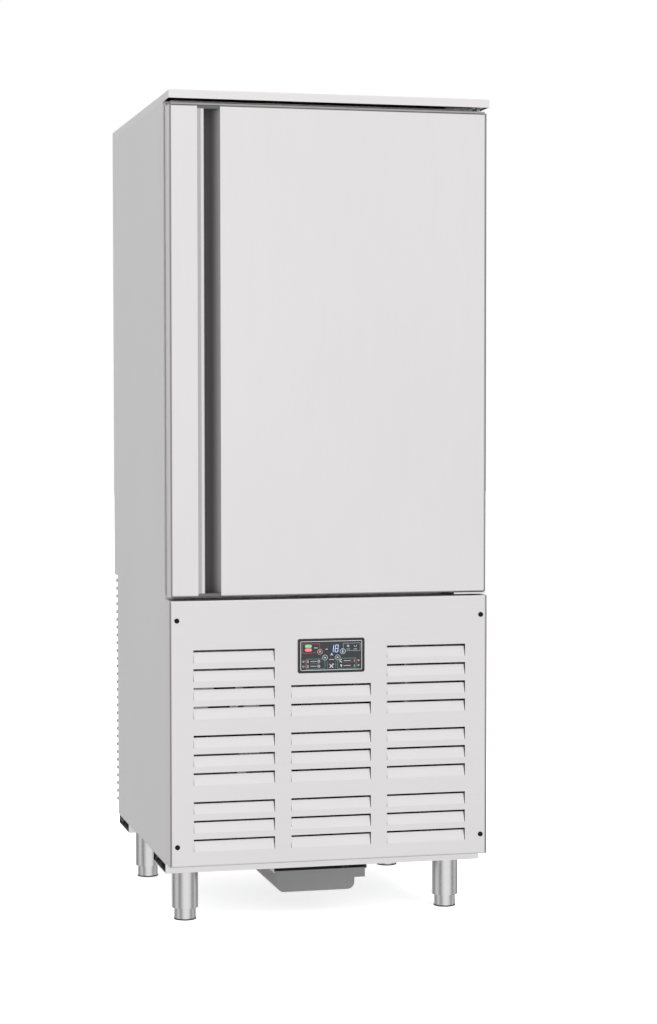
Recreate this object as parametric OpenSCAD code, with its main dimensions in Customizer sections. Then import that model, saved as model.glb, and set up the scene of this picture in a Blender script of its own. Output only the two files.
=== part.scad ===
// Upright blast chiller on four legs: insulated cabinet with one full door,
// louvred machine compartment below, drip tray under the chassis.
// Origin: middle of the footprint on the floor. +Z up, the door faces -Y.

/* [Overall] */
// Overall width over the side panels
body_w = 790; // [770:5:820]
// Overall height from the floor to the top
total_h = 2002; // [1990:2:2040]
// Overall depth, which is the depth of the folded top
total_d = 878; // [860:2:900]
// Thickness of the outer sheet metal
sheet = 1.5; // [1:0.5:2]
// Thickness of the folded top
top_t = 20; // [16:1:26]
// How far the top stands out in front of the door
top_overhang = 8.6; // [4:0.2:12]
// Depth of the zone in front of the cabinet that the door fills
door_zone = 69.4; // [69:0.2:75]
// Step forward of the machine compartment's back below the cabinet
back_step = 53.6; // [45:0.2:60]

/* [Levels] */
// Underside of the insulated cabinet
cabinet_z0 = 802; // [801:1:802]
// Lower edge of the louvred front panel
panel_z0 = 156; // [156:1:158]
// Upper edge of the louvred front panel
panel_z1 = 795; // [793:1:796]
// Lower edge of the door
door_z0 = 803; // [803:0.5:806]
// Gap between the top of the door and the folded top
door_top_gap = 13; // [11:1:15]

/* [Chamber] */
// Thickness of the insulated walls, skins included
wall_t = 60; // [55:1:65]
// Inner corner radius of the chamber
chamber_r = 12; // [6:1:16]
// Number of tray levels
tray_levels = 15; // [8:1:15]
// Distance between tray levels
tray_pitch = 65; // [60:1:66]
// Width of the trays that the runners carry
tray_w = 600; // [590:5:605]
// Length of a tray from front to back
tray_l = 400; // [380:10:410]

/* [Door] */
// Gap at each side between the door edge and the side panel plane
door_inset = 3.4; // [2:0.2:5]
// Full thickness of the door without its gasket
door_t = 60; // [58:1:61]
// Depth of the folded outer skin of the door
skin_depth = 48; // [46:1:50]
// Bend radius of the door and panel edges
bend_r = 4.5; // [3:0.5:6]
// Left edge of the handle recess, from the middle of the door
recess_x0 = -325.5; // [-328:0.5:-322]
// Width of the handle recess in the face of the door
recess_w = 55.5; // [54:0.5:58]
// Depth of the handle recess
recess_d = 35; // [33:1:36]

/* [Louvres] */
// Length of one louvre
louvre_w = 198.6; // [190:0.2:204]
// Height of one louvre
louvre_h = 30; // [26:1:32]
// How far the upper edge of a louvre is pressed in
louvre_press = 7.5; // [5:0.5:9]
// Distance between louvres of one group
louvre_pitch = 45; // [44:0.5:46]
// Distance from the last louvre of a group to the first of the next
louvre_group_gap = 69.5; // [66:0.5:70]
// Distance between the middles of the louvre columns
column_pitch = 239; // [236:1:242]
// Upper edge of the highest row of louvres
louvre_top_z = 676; // [672:1:678]

/* [Control panel] */
// Width of the control panel
ctrl_w = 166; // [160:1:172]
// Height of the control panel
ctrl_h = 83; // [80:1:86]
// Height of its middle above the floor
ctrl_z = 655.5; // [654:0.5:658]
// Radius of a key
key_r = 7.4; // [6.5:0.1:8]

/* [Chassis and legs] */
// Height of the chassis beams
beam_h = 23.5; // [22:0.5:26]
// Depth of the front chassis beam
front_beam_d = 178; // [170:1:184]
// Depth of the rear chassis beam
rear_beam_d = 162; // [156:1:168]
// Distance of each leg from the middle
leg_x = 332.5; // [328:0.5:340]
// Radius of the upper sleeve of a leg
sleeve_r = 32.5; // [32:0.5:33]
// Radius of the adjustable foot
foot_r = 26.5; // [26:0.5:27]
// Height of the sleeve's lower edge above the floor
sleeve_z0 = 29.5; // [28:0.5:34]

/* [Drip tray] */
// Width of the tray over its rim
tray_rim_w = 232; // [226:1:238]
// Depth of the tray from front to back
drip_l = 330; // [300:5:340]
// Distance of the tray's front behind the chassis front
drip_setback = 36; // [30:1:44]

/* [Hidden] */
$fn = 48;

// colours
steel = [0.86, 0.86, 0.87];
steel_side = [0.74, 0.74, 0.74];
galvanised = [0.70, 0.71, 0.73];
black = [0.06, 0.06, 0.06];
dark_plastic = [0.26, 0.26, 0.26];
grey_plastic = [0.50, 0.50, 0.50];

// planes of the cabinet
half_w = body_w / 2;
y_front = -total_d / 2;
y_back = total_d / 2;
y_face = y_front + top_overhang;
y_body = y_face + door_zone;
y_low_back = y_back - back_step;
z_slab = total_h - top_t;
beam_z0 = 129.5;
beam_z1 = beam_z0 + beam_h;
floor_t = 2;
side_z0 = beam_z1 + floor_t;
front_flange = 18;
back_flange = 15;

// chamber
liner_t = 1.2;
chamber_hw = half_w - wall_t - liner_t;
chamber_z0 = cabinet_z0 + wall_t + liner_t;
chamber_z1 = z_slab - wall_t - liner_t;
chamber_y1 = y_back - 3 - wall_t - liner_t;
frame_hw = half_w - front_flange;
frame_d = 18;
slab_gap = 0.1;
head_rise = 4;

// door
door_hw = half_w - door_inset;
door_z1 = z_slab - door_top_gap;
door_h = door_z1 - door_z0;
liner_step = 12;
liner_r = 4;
y_skin_back = y_face + skin_depth;
y_door_back = y_face + door_t;
pivot_x = half_w - 18;
pivot_y = y_face + 30;
pin_r = 6;
bush_r = 9;
bush_len = 25;
running_gap = 0.05;
hinge_plate_x0 = pivot_x - 67;

// handle recess, as an outline that runs the height of the door
recess_x1 = recess_x0 + recess_w;
lip_nose_x = recess_x0 + 17;
lip_t = 12;
pocket_r = (recess_d - lip_t) / 2;
recess_z0 = door_z0 + 8;
recess_z1 = door_z1 - 8.5;
cap_reach = 6;

// louvres: rows of each column, counted from the top
rows = [0, 1, 2, 3, 4, 5, 6, 7, 8, 9];
outer_rows = rows;
middle_rows = [for (r = rows) if (r > 1) r];
function row_group(r) = r < 4 ? 0 : r < 7 ? 1 : 2;
function row_z(r) = louvre_top_z - louvre_h - r * louvre_pitch
    - row_group(r) * (louvre_group_gap - louvre_pitch);

// keys: place of each from the middle of the control panel
key_spots = [[-28.3, 9.8], [28.6, 9.8], [-15.8, -4.8], [15.8, -4.8]];
screw_spots = [[-378, 747], [378, 747], [-378, 204.5], [378, 204.5]];

// legs
leg_y = [y_body + front_beam_d / 2 - 4, y_low_back - 18 - rear_beam_d / 2 - 7];
foot_places = [[-leg_x, leg_y[0]], [leg_x, leg_y[0]], [-leg_x, leg_y[1]], [leg_x, leg_y[1]]];

// drip tray
drip_y0 = y_body + drip_setback;
drip_z1 = 115;
drip_band_z0 = 91.5;
drip_z0 = 62.5;
drip_wall = 2;
rim_over = 4;
rim_t = 2.2;
drain_y = -150;
drain_hole_r = 16.5;

// rack
runner_x = tray_w / 2 + 3;
runner_w = 20;
first_level = chamber_z0 + 54;
rack_y0 = y_body + 41;
rack_posts = [rack_y0 + 8, rack_y0 + tray_l - 22];

// evaporator fans on their hinged panel
fan_panel_y = 150;
fan_panel_hw = 280;
fan_panel_z = [885, 1899];
fan_z = [1140, 1640];
fan_r = 122;
duct_r = 127;
fan_pivot_x = fan_panel_hw + 8.5;
fan_pivot_y = fan_panel_y + 8;
fan_hinge_z = [957, 1787];

// condenser group
cond_x = -160;
cond_z = 375;
cond_fan_r = 146;
cond_duct_r = 152;
cond_y0 = 305;
line_holes = [[265, 600], [110, 500]];

// ---------------------------------------------------------------- helpers

// box from one corner to the opposite one
module block(lo, hi) {
    translate(lo) cube(hi - lo);
}

// the same thing at the left and at the right
module both_sides() {
    children();
    mirror([1, 0, 0]) children();
}

// rectangle w wide and d deep whose two corners at y = 0 are rounded; r is at most d / 2
module front_rounded(w, d, r) {
    translate([-w / 2, r]) square([w, d - r]);
    translate([-w / 2 + r, 0]) square([w - 2 * r, d]);
    for (s = [-1, 1]) translate([s * (w / 2 - r), r]) circle(r);
}

// solid with a flat face at y = 0 whose four edges are bent with radius r
module pan_form(w, h, d, r) {
    intersection() {
        linear_extrude(h) front_rounded(w, d, r);
        translate([w / 2, 0, h / 2]) rotate([0, -90, 0]) linear_extrude(w)
            front_rounded(h, d, r);
    }
}

// folded pan, open at the back
module hollow_pan(w, h, d, r, t) {
    difference() {
        pan_form(w, h, d, r);
        translate([0, t, t]) pan_form(w - 2 * t, h - 2 * t, d, r - t);
    }
}

// rectangle from corner to corner with four round corners
module rounded_rect(x0, y0, x1, y1, r) {
    translate([x0 + r, y0]) square([x1 - x0 - 2 * r, y1 - y0]);
    translate([x0, y0 + r]) square([x1 - x0, y1 - y0 - 2 * r]);
    for (x = [x0 + r, x1 - r], y = [y0 + r, y1 - r]) translate([x, y]) circle(r);
}

// flat plate facing the front with rounded corners, from y0 to y1
module front_plate(x0, z0, x1, z1, r, y0, y1) {
    translate([0, y1, 0]) rotate([90, 0, 0]) linear_extrude(y1 - y0)
        rounded_rect(x0, z0, x1, z1, r);
}

// cylinder along +Y
module rod_y(x, y, z, r, l) {
    translate([x, y, z]) rotate([-90, 0, 0]) cylinder(r = r, h = l);
}

// chamber space grown by g, with round inner edges, open towards the door
module chamber_form(g, y0) {
    hw = chamber_hw + g;
    r = chamber_r + g;
    y1 = chamber_y1 + g;
    z0 = chamber_z0 - g;
    z1 = chamber_z1 + g;
    intersection() {
        front_plate(-hw, z0, hw, z1, r, y0, y1);
        translate([0, y1, z0]) mirror([0, 1, 0]) pan_form(2 * hw, z1 - z0, y1 - y0, r);
    }
}

// axial fan along +Z: hub, pitched blades and the shaft behind it
module axial_fan(r, hub_r, depth, blades, shaft_r, shaft_l) {
    chord = depth * 2.1;
    cylinder(r = hub_r, h = depth);
    translate([0, 0, depth]) cylinder(r = shaft_r, h = shaft_l);
    intersection() {
        cylinder(r = r, h = depth);
        for (i = [0 : blades - 1])
            rotate(i * 360 / blades) translate([hub_r - 3, 0, depth / 2]) rotate([28, 0, 0])
                translate([0, -chord / 2, -1]) cube([r, chord, 2]);
    }
}

// fan motor along +Z behind a fan: can, end cap, and arms back to the duct plate
module fan_motor(can_r, can_l, bore_r, arm_r, leg_l) {
    difference() {
        union() {
            cylinder(r = can_r, h = can_l * 0.7);
            translate([0, 0, can_l * 0.7]) cylinder(r = can_r * 0.8, h = can_l * 0.3);
            for (a = [45 : 90 : 315]) rotate(a) {
                translate([can_r - 6, -5, 0]) cube([arm_r - can_r + 6, 10, 4]);
                translate([arm_r - 6, -5, -leg_l]) cube([6, 10, leg_l + 4]);
            }
        }
        translate([0, 0, -1]) cylinder(r = bore_r, h = 22);
    }
}

// tube along a list of points, with ball-shaped bends
module pipe(points, r) {
    for (i = [0 : len(points) - 2]) {
        run = points[i + 1] - points[i];
        long = norm(run);
        translate(points[i]) rotate([0, acos(run[2] / long), atan2(run[1], run[0])])
            cylinder(r = r, h = long);
        if (i > 0) translate(points[i]) sphere(r);
    }
}

// ---------------------------------------------------------------- cabinet shell

// outline of a side panel seen from the side: the lower back steps forward
module side_outline() {
    polygon([[y_body, side_z0], [y_low_back, side_z0], [y_low_back, cabinet_z0],
        [y_back, cabinet_z0], [y_back, z_slab], [y_body, z_slab]]);
}

// side panel with folded edges and two tabs for the front panel's screws
module side_panel() {
    translate([-half_w, 0, 0]) rotate([90, 0, 90]) linear_extrude(sheet) side_outline();
    block([-half_w, y_body, side_z0], [-frame_hw, y_body + sheet, z_slab]);
    block([-half_w, y_back - sheet, cabinet_z0], [-half_w + back_flange, y_back, z_slab]);
    block([-half_w, y_low_back - sheet, side_z0], [-half_w + back_flange, y_low_back, cabinet_z0]);
    block([-half_w, y_low_back - sheet, cabinet_z0],
        [-half_w + back_flange, y_back, cabinet_z0 + sheet]);
    block([-half_w, y_body, side_z0], [-half_w + back_flange, y_low_back, side_z0 + sheet]);
    for (i = [0, 2]) difference() {
        union() {
            block([-384, y_face + sheet, screw_spots[i][1] - 12],
                [-384 + sheet, y_body + sheet, screw_spots[i][1] + 12]);
            block([-384, y_face + sheet, screw_spots[i][1] - 12],
                [-366, y_face + 2 * sheet, screw_spots[i][1] + 12]);
        }
        rod_y(screw_spots[i][0], y_face, screw_spots[i][1], 2.8, 10);
    }
}

module left_side_panel() {
    color(steel_side) side_panel();
}

module right_side_panel() {
    color(steel_side) mirror([1, 0, 0]) side_panel();
}

// upper back with the return that closes the underside of its overhang
module back_panel() {
    x_in = half_w - sheet;
    color(steel_side) {
        block([-x_in, y_back - 2 * sheet, cabinet_z0 + sheet], [x_in, y_back - sheet, z_slab]);
        block([-half_w + back_flange, y_low_back - sheet, cabinet_z0],
            [half_w - back_flange, y_back - sheet, cabinet_z0 + sheet]);
    }
}

// folded top, standing out over the door as an open pan; it rests on its returns
module top_panel() {
    return_w = 15;
    x_in = half_w - sheet;
    color(steel) {
        translate([0, y_front, total_h]) rotate([-90, 0, 0])
            hollow_pan(body_w, total_d, top_t, 3, sheet);
        block([-x_in, y_back - return_w, z_slab], [x_in, y_back - sheet, z_slab + sheet]);
        both_sides() block([-x_in, y_body, z_slab], [-x_in + return_w, y_back, z_slab + sheet]);
    }
}

// sheet under the insulated cabinet, with the drain hole; its front edge is folded down
// to shut the gap over the front panel, as far as the hinge plate
module cabinet_base_panel() {
    x_in = half_w - sheet;
    y0 = y_body + frame_d;
    color(galvanised) {
        difference() {
            block([-x_in, y0, cabinet_z0], [x_in, y_low_back - sheet, cabinet_z0 + sheet]);
            translate([0, drain_y, cabinet_z0 - 1]) cylinder(r = drain_hole_r, h = 10);
        }
        block([-x_in + back_flange, y0, cabinet_z0 - 22], [hinge_plate_x0 - 4, y0 + sheet, cabinet_z0]);
    }
}

// insulation between the outer sheets and the liner: side, floor, ceiling and back slabs
module cabinet_foam() {
    x_out = half_w - sheet;
    x_in = half_w - wall_t;
    y0 = y_body + frame_d;
    y_rear = chamber_y1 + liner_t;
    y1 = y_back - 2 * sheet;
    z0 = cabinet_z0 + sheet;
    z_floor = cabinet_z0 + wall_t;
    z_ceiling = z_slab - wall_t;
    color("khaki") {
        both_sides() {
            block([-x_out, y0, z0], [-x_in, y1, z_slab]);
            block([-x_out, y_body + sheet, z0], [-frame_hw, y0, z_slab]);
        }
        difference() {
            block([-x_in + slab_gap, y0, z0], [x_in - slab_gap, y1, z_floor]);
            translate([0, drain_y, cabinet_z0]) cylinder(r = drain_hole_r, h = wall_t + 1);
        }
        block([-x_in + slab_gap, y0, z_ceiling], [x_in - slab_gap, y1, z_slab]);
        block([-x_in + slab_gap, y_rear, z_floor + slab_gap],
            [x_in - slab_gap, y1, z_ceiling - slab_gap]);
    }
}

// seamless inner box of the chamber
module chamber_liner() {
    color(steel) difference() {
        chamber_form(liner_t, y_body);
        chamber_form(0, y_body - 1);
        translate([0, drain_y, chamber_z0 - 10]) cylinder(r = drain_hole_r, h = 20);
    }
}

// plastic frame that breaks the cold path round the opening: four straight profiles and
// four moulded corner pieces; the gasket closes on it, and its head stands up into the top
module breaker_frame() {
    y1 = y_body + frame_d;
    x_in = half_w - wall_t;
    z_sill = cabinet_z0 + wall_t;
    z_head = z_slab - wall_t;
    z_top = z_slab + head_rise;
    corner = chamber_r + liner_t;
    color(grey_plastic) {
        both_sides() block([-frame_hw, y_body, z_sill + corner + slab_gap],
            [-x_in, y1, z_head - corner - slab_gap]);
        for (z = [[cabinet_z0, z_sill], [z_head, z_top]])
            block([-x_in + corner + slab_gap, y_body, z[0]], [x_in - corner - slab_gap, y1, z[1]]);
        difference() {
            both_sides() {
                block([-frame_hw, y_body, cabinet_z0], [-x_in + corner, y1, z_sill + corner]);
                block([-frame_hw, y_body, z_head - corner], [-x_in + corner, y1, z_top]);
            }
            chamber_form(liner_t, y_body - 1);
        }
    }
}

// ---------------------------------------------------------------- chassis and legs

// floor of the machine compartment, with air slots and the drain hole
module machine_floor() {
    color(galvanised) difference() {
        block([-half_w, y_body, beam_z1], [half_w, y_low_back, side_z0]);
        translate([0, drain_y, beam_z1 - 1]) cylinder(r = drain_hole_r, h = 10);
        for (i = [-4 : 4]) block([i * 60 - 20, 20, beam_z1 - 1], [i * 60 + 20, 60, side_z0 + 1]);
    }
}

// chassis beam: a flat box channel, open at both ends
module beam(y0, d) {
    wall = 3;
    difference() {
        block([-half_w, y0, beam_z0], [half_w, y0 + d, beam_z1]);
        block([-half_w - 1, y0 + wall, beam_z0 + wall], [half_w + 1, y0 + d - wall, beam_z1 - 1.5]);
    }
}

module front_beam() {
    color(steel) beam(y_body, front_beam_d);
}

module rear_beam() {
    color(steel) beam(y_low_back - 18 - rear_beam_d, rear_beam_d);
}

// four fixed upper sleeves of the legs, each with its mounting flange
module leg_sleeves() {
    color(steel) for (p = foot_places) translate([p[0], p[1], sleeve_z0]) difference() {
        h = beam_z0 - sleeve_z0;
        cylinder(r = sleeve_r, h = h);
        translate([0, 0, -1]) cylinder(r = foot_r + 1, h = h - 4);
    }
}

// adjustable foot: tube with a flared base pad
module foot(i) {
    pad_h = 3;
    translate([foot_places[i][0], foot_places[i][1], 0]) {
        color(black) cylinder(r = foot_r + 1, h = pad_h);
        color(steel) translate([0, 0, pad_h]) difference() {
            cylinder(r = foot_r, h = 98);
            translate([0, 0, 8]) cylinder(r = foot_r - 3, h = 100);
        }
    }
}

module foot_front_left() { foot(0); }
module foot_front_right() { foot(1); }
module foot_rear_left() { foot(2); }
module foot_rear_right() { foot(3); }

// ---------------------------------------------------------------- front panel and control

// bent tongue of one louvre: its lower edge stays in the sheet
module louvre_tongue(x, z) {
    gap = 5.6;
    side_gap = 1.2;
    rise = louvre_h - gap;
    press = louvre_press;
    slope = atan2(press, rise);
    w = louvre_w - 2 * side_gap;
    translate([x - w / 2, y_face, z]) rotate([90, 0, 90]) linear_extrude(w)
        polygon([[0, -1], [0, 0], [press, rise],
            [press + sheet * cos(slope), rise - sheet * sin(slope)], [sheet, -0.2], [sheet, -1]]);
}

// calls its child for every louvre: rows of the two outer columns and of the middle one
module each_louvre() {
    for (r = outer_rows, s = [-1, 1]) translate([s * column_pitch, 0, row_z(r)]) children();
    for (r = middle_rows) translate([0, 0, row_z(r)]) children();
}

// louvred lower front: a folded pan with three columns of pressed louvres
module front_panel() {
    window = [73, 33];
    color(steel) {
        difference() {
            translate([0, y_face, panel_z0])
                hollow_pan(body_w, panel_z1 - panel_z0, door_zone, bend_r, sheet);
            each_louvre() block([-louvre_w / 2, y_face - 1, 0],
                [louvre_w / 2, y_face + sheet + 1, louvre_h]);
            block([-window[0], y_face - 1, ctrl_z - window[1]],
                [window[0], y_face + 5, ctrl_z + window[1]]);
            for (s = screw_spots) rod_y(s[0], y_face - 1, s[1], 2.8, 5);
        }
        each_louvre() louvre_tongue(0, 0);
    }
}

// four round-headed screws that hold the front panel
module panel_screws() {
    head_r = 6;
    color(black) for (s = screw_spots) translate([s[0], y_face, s[1]]) rotate([90, 0, 0]) {
        rotate_extrude() polygon([[0, 0], [head_r, 0], [head_r, 1.6], [head_r - 1.2, 3], [0, 3]]);
        translate([0, 0, -14]) cylinder(r = 2.5, h = 14);
    }
}

// raised black frame round the control panel
module control_bezel() {
    a = ctrl_w / 2;
    b = ctrl_h / 2;
    rim = 5;
    color(black) difference() {
        front_plate(-a, ctrl_z - b, a, ctrl_z + b, 5, y_face - 1.8, y_face);
        front_plate(-a + rim, ctrl_z - b + rim, a - rim, ctrl_z + b - rim, 2.5,
            y_face - 3, y_face + 1);
    }
}

// glossy cover sheet inside the frame, open where the keys travel
module control_overlay() {
    a = ctrl_w / 2 - 5;
    b = ctrl_h / 2 - 5;
    color([0.1, 0.1, 0.12]) difference() {
        front_plate(-a, ctrl_z - b, a, ctrl_z + b, 2.5, y_face - 1.2, y_face);
        for (k = key_spots) rod_y(k[0], y_face - 3, ctrl_z + k[1], key_r + 0.3, 6);
    }
}

// round key with a raised ring; it travels inwards
module key(i) {
    translate([key_spots[i][0], y_face, ctrl_z + key_spots[i][1]]) rotate([90, 0, 0])
        rotate_extrude() polygon([[0, -0.4], [key_r, -0.4], [key_r, 1.4], [key_r - 0.6, 1.8],
            [key_r - 1.6, 1.8], [key_r - 2.2, 1.3], [0, 1.3]]);
}

module key_stop() { color("firebrick") key(0); }
module key_light() { color("lightblue") key(1); }
module key_down() { color("seagreen") key(2); }
module key_up() { color("seagreen") key(3); }

// electronics housing behind the control panel
module controller_box() {
    y0 = y_face + sheet;
    color(grey_plastic) {
        difference() {
            block([-92, y0, ctrl_z - 46], [92, y0 + 2, ctrl_z + 46]);
            block([-73, y0 - 1, ctrl_z - 33], [73, y0 + 3, ctrl_z + 33]);
        }
        block([-78, y0 + 2, ctrl_z - 37], [78, y0 + 40, ctrl_z + 37]);
        for (i = [-2 : 2]) block([i * 26 - 8, y0 + 40, ctrl_z - 30], [i * 26 + 8, y0 + 48, ctrl_z - 16]);
    }
}

// ---------------------------------------------------------------- rear grille

// one blade seen from the side: gently falling outwards, with a lip at its edge
module blade_outline() {
    polygon([[y_low_back + 0.5, 5], [y_low_back + 32, 0], [y_low_back + 32, -6.5],
        [y_low_back + 33.6, -6.5], [y_low_back + 33.6, 1.6], [y_low_back + 0.5, 6.6]]);
}

// protective grille of full-width blades on two posts, over the condenser outlet
module rear_grille() {
    blades = 29;
    pitch = 21.3;
    first = 191.5;
    blade_hw = half_w - 1;
    post = [half_w - back_flange - 20, half_w - back_flange - 1];
    color(galvanised) {
        for (i = [0 : blades - 1]) {
            translate([-blade_hw, 0, first + i * pitch]) rotate([90, 0, 90])
                linear_extrude(2 * blade_hw) blade_outline();
        }
        both_sides() block([-post[1], y_low_back - 18, side_z0 + sheet],
            [-post[0], y_low_back + 4, cabinet_z0 - 1]);
    }
}

// ---------------------------------------------------------------- drip tray

// rim band above; the bowl below has round lower edges and stands back at the right
module drip_tray() {
    band_hw = tray_rim_w / 2 - rim_over;
    bowl_x1 = band_hw - 27;
    bowl_r = 18;
    y0 = drip_y0;
    y1 = drip_y0 + drip_l;
    color(grey_plastic) {
        difference() {
            union() {
                block([-band_hw, y0, drip_band_z0], [band_hw, y1, drip_z1]);
                translate([0, y1 - 14, 0]) rotate([90, 0, 0]) linear_extrude(drip_l - 14)
                    rounded_rect(-band_hw, drip_z0, bowl_x1, drip_z1, bowl_r);
            }
            block([-band_hw + drip_wall, y0 + drip_wall, drip_band_z0 + drip_wall],
                [band_hw - drip_wall, y1 - drip_wall, drip_z1 + 1]);
            translate([0, y1 - 14 - drip_wall, 0]) rotate([90, 0, 0])
                linear_extrude(drip_l - 14 - 2 * drip_wall)
                rounded_rect(-band_hw + drip_wall, drip_z0 + drip_wall, bowl_x1 - drip_wall,
                    drip_z1, bowl_r - drip_wall);
        }
        both_sides() block([-tray_rim_w / 2, y0, drip_z1 - rim_t], [-band_hw, y1, drip_z1]);
    }
}

// two folded rails under the chassis that the rim slides on
module tray_rails() {
    inner = tray_rim_w / 2 - rim_over + 0.8;
    outer = tray_rim_w / 2 + 1.2;
    y0 = drip_y0 + 6;
    y1 = drip_y0 + drip_l + 4;
    color(galvanised) both_sides() {
        block([-outer - sheet, y0, drip_z1 - 4.2], [-outer, y1, beam_z0]);
        block([-outer, y0, drip_z1 - 4.2], [-inner, y1, drip_z1 - rim_t]);
        block([-outer - 14, y0, beam_z0 - sheet], [-outer, y_body + front_beam_d, beam_z0]);
        block([-outer - 14, y1 - 24, beam_z0 - sheet], [-outer, y1, beam_z0]);
        block([-outer - 14, y1 - 24, beam_z0 - sheet], [-outer - 14 + sheet, y1, beam_z1]);
    }
}

// ---------------------------------------------------------------- door

// hollow of the handle recess seen from above, grown by g: a quarter round on the
// right, and a finger pocket that runs to the left behind the lip
module recess_outline(g) {
    cx = recess_x1 - recess_d;
    intersection() {
        translate([cx, y_face]) circle(recess_d + g);
        translate([cx - 1, y_face - 1]) square([recess_d + g + 1, recess_d + g + 1]);
    }
    pocket_x = recess_x0 + 3;
    translate([pocket_x, y_face + lip_t - g]) square([cx - pocket_x, recess_d - lip_t + 2 * g]);
    translate([pocket_x, y_face + lip_t + pocket_r]) circle(pocket_r + g);
    translate([lip_nose_x - g, y_face - 1]) square([cx - lip_nose_x + g, recess_d + 1 + g]);
}

// grip lip: it leans in from the face of the door to a blunt nose
module lip_outline() {
    nose = 1.6;
    lean = 2.8;
    polygon([[recess_x0, y_face], [recess_x0 + 9.2, y_face + lean],
        [lip_nose_x - nose, y_face + lean], [lip_nose_x - nose, y_face + lip_t + 0.5],
        [recess_x0, y_face + lip_t + 0.5]]);
    translate([lip_nose_x - nose, y_face + lean + nose]) circle(nose);
    translate([lip_nose_x - nose - 1, y_face + lean + nose])
        square([nose + 1, lip_t - lean - nose + 0.5]);
}

// everything that the handle takes out of the foam, over the height of the door
module handle_envelope() {
    translate([0, 0, door_z0]) linear_extrude(door_h) {
        recess_outline(sheet);
        translate([recess_x0, y_face]) square([recess_w, lip_t + 0.5]);
    }
}

// folded outer skin: front, four sides and the step that takes the liner
module door_skin() {
    w = 2 * door_hw;
    color(steel) difference() {
        union() {
            translate([0, y_face, door_z0]) hollow_pan(w, door_h, skin_depth, bend_r, sheet);
            difference() {
                block([-door_hw, y_skin_back - sheet, door_z0], [door_hw, y_skin_back, door_z1]);
                block([-door_hw + liner_step, y_skin_back - 5, door_z0 + liner_step],
                    [door_hw - liner_step, y_skin_back + 1, door_z1 - liner_step]);
            }
        }
        block([recess_x0, y_face - 1, door_z0 - 1], [recess_x1, y_face + cap_reach, door_z1 + 1]);
        for (z = [door_z0 - 1, door_z1 - bush_len]) translate([pivot_x, pivot_y, z])
            cylinder(r = bush_r + 0.2, h = bush_len + 1);
    }
}

// moulded lining of the recess, bent round the finger pocket and up to the door's face,
// with a cap at each end that takes the shape of the door's edge
module door_handle_channel() {
    color(dark_plastic) {
        translate([0, 0, recess_z0]) linear_extrude(recess_z1 - recess_z0) difference() {
            recess_outline(sheet);
            recess_outline(0);
            translate([-400, y_face - 2]) square([400, 2 + sheet]);
            translate([recess_x0, y_face]) square([recess_w / 2, lip_t + 0.5]);
        }
        recess_caps();
    }
}

// end caps: a part behind the skin, and a part that fills the cut through its bent edge
module recess_caps() {
    t = sheet;
    intersection() {
        for (z = [[door_z0 + t, recess_z0], [recess_z1, door_z1 - t]])
            translate([0, 0, z[0]]) linear_extrude(z[1] - z[0]) difference() {
                union() {
                    recess_outline(t);
                    translate([recess_x0, y_face]) square([recess_w / 2, lip_t + 0.5]);
                }
                translate([-400, y_face - 2]) square([400, 2 + t]);
            }
        translate([0, y_face + t, door_z0 + t])
            pan_form(2 * (door_hw - t), door_h - 2 * t, skin_depth, bend_r - t + 0.6);
    }
    intersection() {
        for (z = [[door_z0, recess_z0], [recess_z1, door_z1]])
            block([recess_x0, y_face + 0.6, z[0]], [recess_x1, y_face + cap_reach, z[1]]);
        translate([0, y_face, door_z0]) pan_form(2 * door_hw, door_h, skin_depth, bend_r);
    }
}

// grip lip in front of the finger pocket, held between the caps
module door_grip() {
    color(steel_side) translate([0, 0, recess_z0]) linear_extrude(recess_z1 - recess_z0)
        lip_outline();
}

// space inside the pressed part of the inner liner, from y0 backwards, with edge radius r
module liner_core(y0, r) {
    in = liner_step + liner_t;
    translate([0, y_door_back - liner_t, door_z0 + in]) mirror([0, 1, 0])
        pan_form(2 * (door_hw - in), door_h - 2 * in, y_door_back - liner_t - y0, r);
}

// raised middle of the inner liner, shrunk by g, from y0 backwards
module liner_raise(g, y0, r) {
    rise = 4;
    inset = 8 + g;
    y1 = y_door_back + rise - g;
    translate([0, y1, chamber_z0 + inset]) mirror([0, 1, 0])
        pan_form(2 * (chamber_hw - inset), chamber_z1 - chamber_z0 - 2 * inset, y1 - y0, r);
}

// foamed core of the door in one piece
module door_core() {
    t = sheet;
    difference() {
        union() {
            translate([0, y_face + t, door_z0 + t])
                pan_form(2 * (door_hw - t), door_h - 2 * t, skin_depth - 2 * t, bend_r - t);
            liner_core(y_skin_back - t, liner_r - liner_t + 0.6);
            liner_raise(liner_t, y_skin_back, 1.4);
        }
        handle_envelope();
        for (z = [door_z0 - 1, door_z1 - bush_len]) translate([pivot_x, pivot_y, z])
            cylinder(r = bush_r + 0.2, h = bush_len + 1);
    }
}

// wedge of the door seen from above, between two directions from a corner at c
module fan_wedge(c, from, to) {
    far = 3 * body_w;
    trim = 0.15;
    polygon([c, c + far * [cos(from + trim), sin(from + trim)],
        c + far * [cos(to - trim), sin(to - trim)]]);
}

// the core is parted along lines that fan out from the round parts of the handle recess, so
// that each part is nearly convex
module door_foam() {
    bend = [recess_x1 - recess_d, y_face];
    pocket = [recess_x0 + 3, y_face + lip_t + pocket_r];
    color("khaki") {
        for (a = [[-90, 30], [30, 60], [60, 90]]) door_part() fan_wedge(bend, a[0], a[1]);
        for (a = [90 : 45 : 225]) door_part() fan_wedge(pocket, a, a + 45);
        door_part() translate(pocket + [slab_gap, 0]) square([bend[0] - pocket[0] - 2 * slab_gap, door_t]);
    }
}

// the part of the door's core that lies within an outline seen from above
module door_part() {
    intersection() {
        door_core();
        translate([0, 0, door_z0]) linear_extrude(door_h) children();
    }
}

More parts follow.
